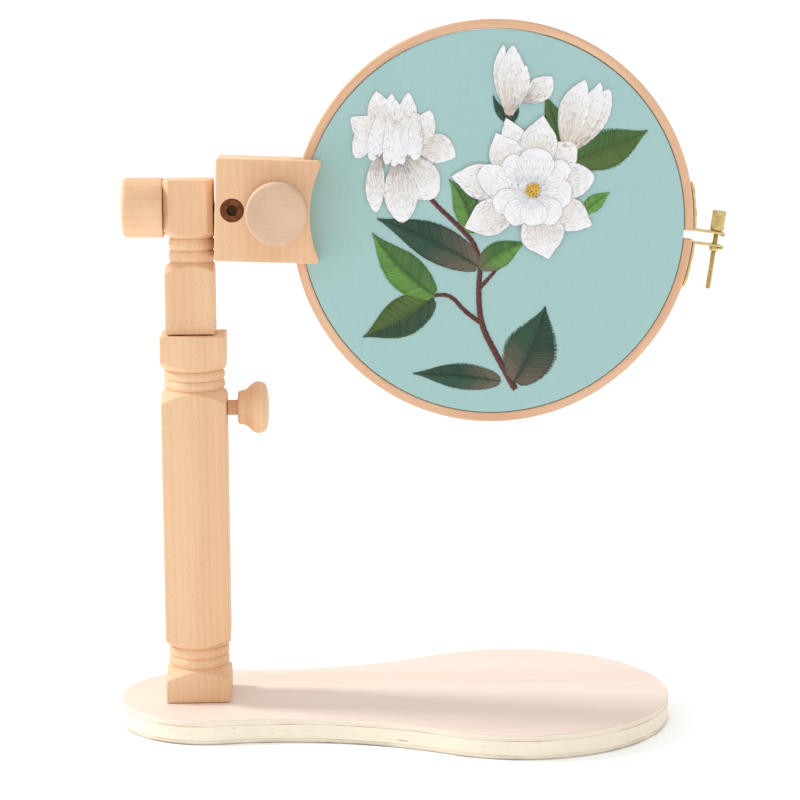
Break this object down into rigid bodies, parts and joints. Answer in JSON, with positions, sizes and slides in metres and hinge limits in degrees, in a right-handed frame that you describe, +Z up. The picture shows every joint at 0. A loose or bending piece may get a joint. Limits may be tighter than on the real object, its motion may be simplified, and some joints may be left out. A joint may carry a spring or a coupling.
{
  "type": "embroidery hoop on stand",
  "caption": "Round wooden embroidery hoop with stretched cloth, held by a swivelling wooden clamp on a height-adjustable square post with a figure-of-eight plywood base.",
  "frame": {"origin": "underside of the base board, on the axis of the post", "axes": "+Z up along the post, +X from the post towards the hoop, -Y towards the person stitching"},
  "size_m": [0.3314, 0.168, 0.3811],
  "materials": {
    "beech": "fine-sanded clear satin beech",
    "plywood": "fine-sanded pale plywood with bare laminated edge",
    "hoop_wood": "smooth steam-bent beech",
    "cloth": "plain-woven cotton with satin-stitch embroidery",
    "steel": "zinc plated",
    "bronze": "dark antique bronze plating",
    "brass": "pressed brass, slightly tarnished"
  },
  "bodies": {
    "base": {"base_board": "plywood", "base_screw_1": "steel", "base_screw_2": "steel", "lower_post": "beech", "lock_insert": "bronze"},
    "lock_stud": {"lock_stud": "steel"},
    "lock_knob": {"lock_knob": "beech"},
    "upper_post": {"upper_post": "beech"},
    "axle_bolt": {"axle_bolt": "steel"},
    "axle_knob": {"axle_knob": "beech"},
    "clamp": {"clamp_body": "beech", "axle_insert": "bronze", "clamp_insert": "bronze", "jaw_dowel_upper": "beech", "jaw_dowel_lower": "beech"},
    "front_jaw": {"front_jaw": "beech", "face_insert": "bronze"},
    "clamp_knob": {"clamp_knob": "beech", "clamp_bolt": "steel"},
    "hoop": {"outer_ring": "hoop_wood", "upper_bracket": "brass", "lower_bracket": "brass", "upper_rivet_1": "brass", "upper_rivet_2": "brass", "lower_rivet_1": "brass", "lower_rivet_2": "brass", "hoop_nut": "brass"},
    "inner_hoop": {"inner_ring": "hoop_wood", "fabric": "cloth"},
    "hoop_screw": {"hoop_screw": "brass"}
  },
  "joints": [
    {"name": "lock_travel", "type": "slide", "parent": "base", "child": "lock_stud", "axis": [1, 0, 0], "range_m": [0, 0.0031]},
    {"name": "lock_knob_turn", "type": "hinge", "parent": "lock_stud", "child": "lock_knob", "pos_m": [0.03, 0, 0.1738], "axis": [1, 0, 0], "range_deg": [0, 1080]},
    {"name": "post_height", "type": "slide", "parent": "base", "child": "upper_post", "axis": [0, 0, 1], "range_m": [0, 0.1]},
    {"name": "axle_travel", "type": "slide", "parent": "upper_post", "child": "axle_bolt", "axis": [-1, 0, 0], "range_m": [0, 0.0031]},
    {"name": "axle_knob_turn", "type": "hinge", "parent": "axle_bolt", "child": "axle_knob", "pos_m": [-0.026, 0, 0.2824], "axis": [-1, 0, 0], "range_deg": [0, 1080]},
    {"name": "clamp_swivel", "type": "hinge", "parent": "upper_post", "child": "clamp", "pos_m": [0.02, 0, 0.2824], "axis": [0.9994, 0, -0.0349], "continuous": true},
    {"name": "jaw_open", "type": "slide", "parent": "clamp", "child": "front_jaw", "axis": [0, -1, 0], "range_m": [0, 0.0031]},
    {"name": "clamp_knob_turn", "type": "hinge", "parent": "front_jaw", "child": "clamp_knob", "pos_m": [0.04598, -0.035, 0.28149], "axis": [0, -1, 0], "range_deg": [0, 1080]},
    {"name": "hoop_slide", "type": "slide", "parent": "clamp", "child": "hoop", "axis": [0.9994, 0, -0.0349], "range_m": [0, 0.025]},
    {"name": "inner_ring_turn", "type": "hinge", "parent": "hoop", "child": "inner_hoop", "pos_m": [0.16167, -0.003, 0.27345], "axis": [0, -1, 0], "continuous": true},
    {"name": "hoop_screw_turn", "type": "hinge", "parent": "hoop", "child": "hoop_screw", "pos_m": [0.28103, -0.003, 0.25689], "axis": [0.1374, 0, 0.9905], "range_deg": [0, 1440]}
  ],
  "couplings": [
    {"joint": "lock_travel", "follows": "lock_knob_turn", "m_per_rad": 0.00015915},
    {"joint": "axle_travel", "follows": "axle_knob_turn", "m_per_rad": 0.00015915},
    {"joint": "jaw_open", "follows": "clamp_knob_turn", "m_per_rad": 0.00015915}
  ]
}
